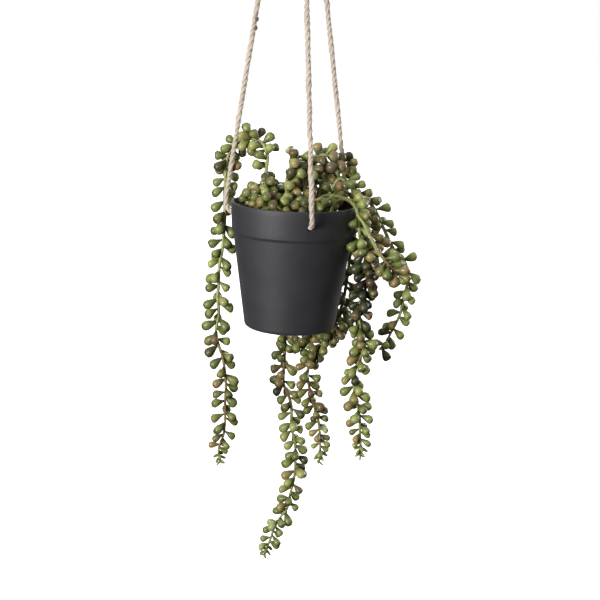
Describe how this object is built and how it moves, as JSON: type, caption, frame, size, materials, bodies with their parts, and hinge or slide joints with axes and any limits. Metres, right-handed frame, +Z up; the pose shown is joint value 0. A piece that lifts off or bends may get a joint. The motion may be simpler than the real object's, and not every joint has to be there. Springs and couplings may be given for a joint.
{
  "type": "potted string of pearls",
  "caption": "Trailing string of pearls plant in a tapered dark pot that hangs on twisted cords from a knotted loop.",
  "frame": {"origin": "inside top of the hanging loop, where the whole part is held", "axes": "+Z up; -Y towards the viewer, the side with the front cord; +X to the viewer's right"},
  "size_m": [0.2064, 0.1527, 0.8283],
  "materials": {
    "pot": "matt charcoal, faintly uneven",
    "soil": "dark crumbly potting soil",
    "cord": "three-ply twisted jute with stray fibres",
    "pearls": "satin olive green with darker undersides and some brown blush"
  },
  "bodies": {
    "root": {"pot": "pot", "soil": "soil", "cord_front": "cord", "cord_right": "cord", "cord_left": "cord", "stopper_knot_front": "cord", "stopper_knot_right": "cord", "stopper_knot_left": "cord", "gathering_knot": "cord", "hanging_loop": "cord", "strand_left": "pearls", "strand_back_long": "pearls", "strand_back_short": "pearls", "strand_right_long": "pearls", "strand_right_outer": "pearls", "strand_right_front": "pearls", "heap_left_front": "pearls", "heap_rise_left": "pearls", "heap_top": "pearls", "heap_right": "pearls", "heap_front": "pearls", "heap_left_back": "pearls", "heap_back": "pearls", "heap_middle_left": "pearls", "heap_middle_back": "pearls", "heap_low_left": "pearls"}
  },
  "joints": []
}
